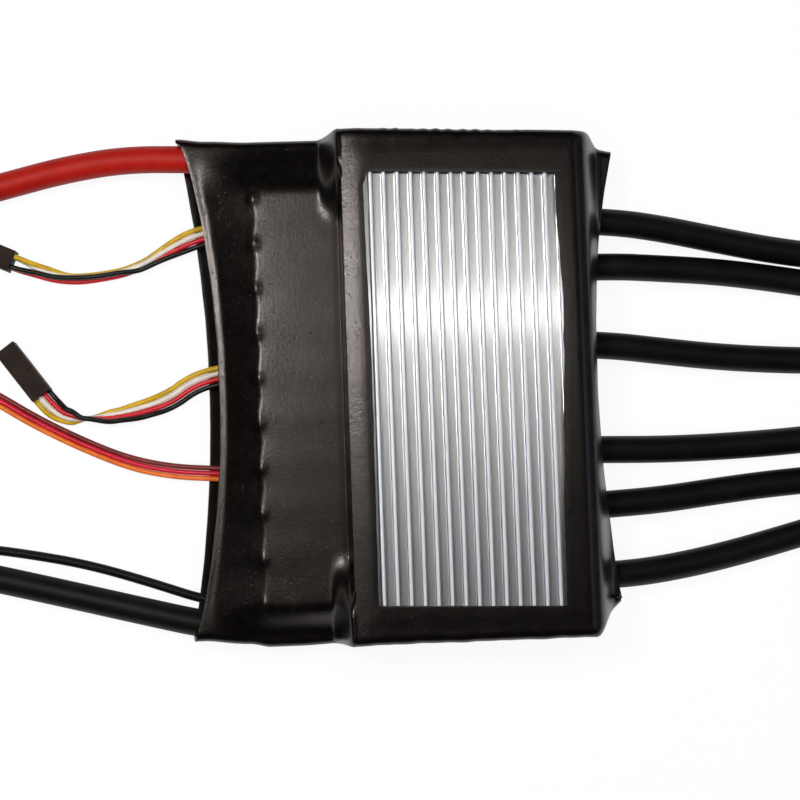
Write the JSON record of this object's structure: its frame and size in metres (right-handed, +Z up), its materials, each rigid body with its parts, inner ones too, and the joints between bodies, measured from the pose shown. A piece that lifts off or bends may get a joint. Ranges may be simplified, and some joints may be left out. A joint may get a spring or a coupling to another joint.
{
  "type": "electronic speed controller",
  "caption": "Large brushless motor speed controller: ribbed heatsink in a black heat-shrink sleeve, heavy motor and battery leads, plugged signal leads.",
  "frame": {"origin": "middle of the sleeved body at its underside, on the surface it stands on", "axes": "+X towards the motor leads, +Y along the heatsink ribs, +Z up from the underside to the heatsink"},
  "size_m": [0.2739, 0.1184, 0.0228],
  "materials": {
    "sleeve": "satin black heat-shrink film",
    "heatsink": "extruded, natural",
    "circuit_board": "green solder mask",
    "insulation": "glass-fibre sheet",
    "thermal_pad": "soft silicone pad",
    "brass": "turned",
    "screw_steel": "zinc plated",
    "moulded_package": "moulded epoxy",
    "tinned_copper": "tinned strands",
    "header_plastic": "moulded",
    "foam": "closed-cell foam",
    "capacitor_sleeve": "shrunk film",
    "copper": "plain copper",
    "black_silicone": "satin",
    "red_silicone": "satin",
    "black_insulation": "satin",
    "yellow_insulation": "PVC",
    "white_insulation": "PVC",
    "red_insulation": "PVC",
    "brown_insulation": "PVC",
    "crimson_insulation": "PVC",
    "orange_insulation": "PVC",
    "plug_housing": "moulded nylon",
    "contact_metal": "plated"
  },
  "bodies": {
    "root": {"heatsink": "heatsink", "heat_shrink_sleeve": "sleeve", "control_board": "circuit_board", "power_board": "circuit_board", "insulating_sheet": "insulation", "thermal_pad": "thermal_pad", "standoffs": "brass", "board_screws": "screw_steel", "mosfets": "moulded_package", "mosfet_leads": "tinned_copper", "microcontroller": "moulded_package", "gate_drivers": "moulded_package", "voltage_regulator": "moulded_package", "opto_isolators": "moulded_package", "board_headers": "header_plastic", "capacitor_01": "capacitor_sleeve", "capacitor_02": "capacitor_sleeve", "capacitor_03": "capacitor_sleeve", "capacitor_04": "capacitor_sleeve", "capacitor_05": "capacitor_sleeve", "capacitor_06": "capacitor_sleeve", "capacitor_07": "capacitor_sleeve", "capacitor_08": "capacitor_sleeve", "capacitor_09": "capacitor_sleeve", "capacitor_10": "capacitor_sleeve", "capacitor_leads": "tinned_copper", "capacitor_foam": "foam", "capacitor_board": "circuit_board", "positive_bus_bar": "copper", "negative_bus_bar": "copper", "phase_a_bar": "copper", "phase_b_bar": "copper", "phase_c_bar": "copper", "motor_lead_1": "black_silicone", "motor_lead_2": "black_silicone", "motor_lead_3": "black_silicone", "motor_lead_4": "black_silicone", "motor_lead_5": "black_silicone", "motor_lead_6": "black_silicone", "battery_lead_positive": "red_silicone", "battery_lead_negative": "black_silicone", "sense_lead": "black_insulation", "lead_inner_ends": "tinned_copper", "lead_tips": "tinned_copper", "data_lead_a_yellow": "yellow_insulation", "data_lead_a_white": "white_insulation", "data_lead_a_red": "red_insulation", "data_lead_a_black": "black_insulation", "data_lead_b_yellow": "yellow_insulation", "data_lead_b_white": "white_insulation", "data_lead_b_red": "red_insulation", "data_lead_b_black": "black_insulation", "servo_lead_brown": "brown_insulation", "servo_lead_red": "crimson_insulation", "servo_lead_orange": "orange_insulation", "data_plug_a": "plug_housing", "data_plug_b": "plug_housing", "servo_lead_coil": "crimson_insulation", "servo_plug": "plug_housing", "plug_contacts": "contact_metal"}
  },
  "joints": []
}
